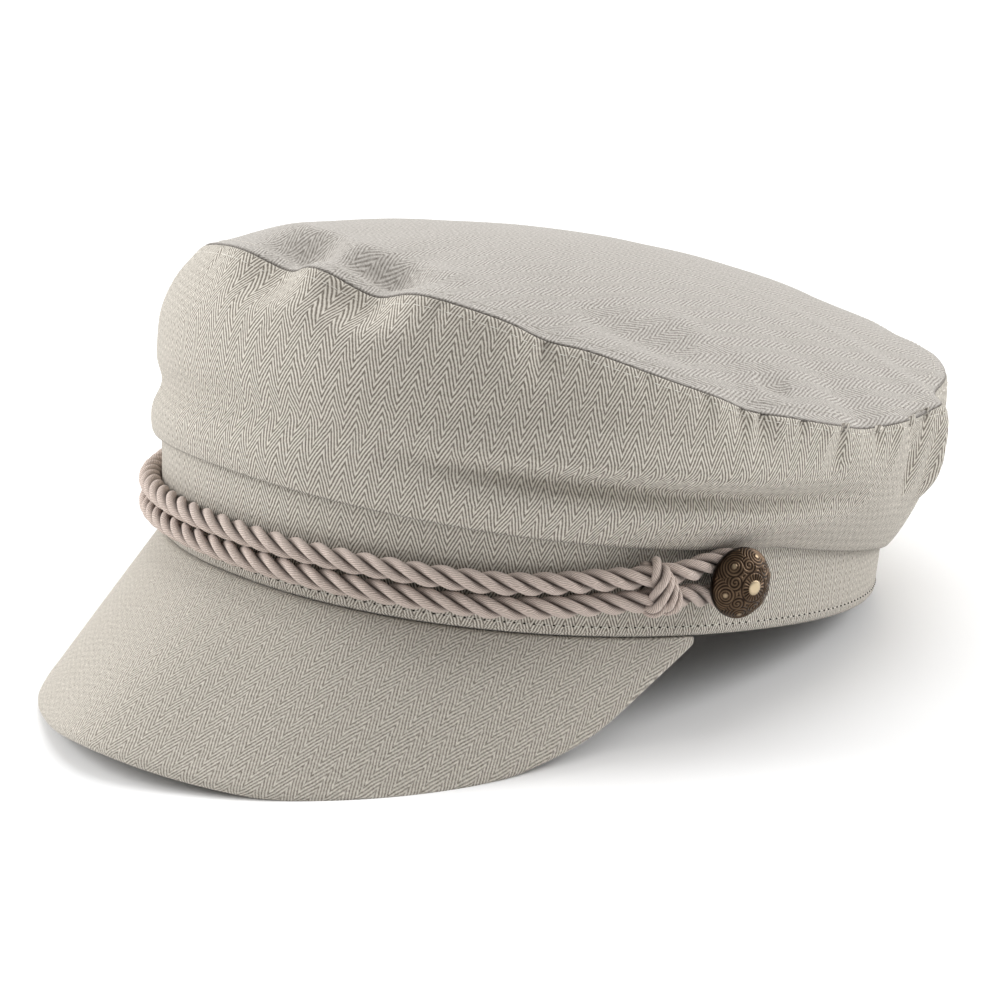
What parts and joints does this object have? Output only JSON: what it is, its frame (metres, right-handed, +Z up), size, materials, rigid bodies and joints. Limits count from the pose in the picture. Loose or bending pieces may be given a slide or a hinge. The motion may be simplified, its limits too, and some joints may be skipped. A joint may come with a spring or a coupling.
{
  "type": "greek fisherman cap",
  "caption": "Soft cloth cap with a low gathered crown over an upright headband, a curved stiffened peak, a twisted rope trim round the front and a cast button at each side.",
  "frame": {"origin": "middle of the cap's box, on the surface it rests on", "axes": "+Z up, the peak towards -Y, the wearer's left towards +X"},
  "size_m": [0.1944, 0.2796, 0.1198],
  "materials": {
    "crown_cloth": "matt herringbone cotton, pale stone grey with a fine dark twill line",
    "band_cloth": "matt herringbone cotton, stitched near its lower edge",
    "peak_cloth": "matt herringbone cotton over a stiff sheet",
    "rope_cotton": "matt twisted cotton, warm pinkish taupe",
    "antique_brass": "dark antique brass, rubbed bright on the raised bosses"
  },
  "bodies": {
    "root": {"crown_top": "crown_cloth", "crown_side": "crown_cloth", "headband": "band_cloth", "peak": "peak_cloth", "rope": "rope_cotton", "rope_knot_left": "rope_cotton", "rope_knot_right": "rope_cotton", "button_left": "antique_brass", "button_right": "antique_brass"}
  },
  "joints": []
}
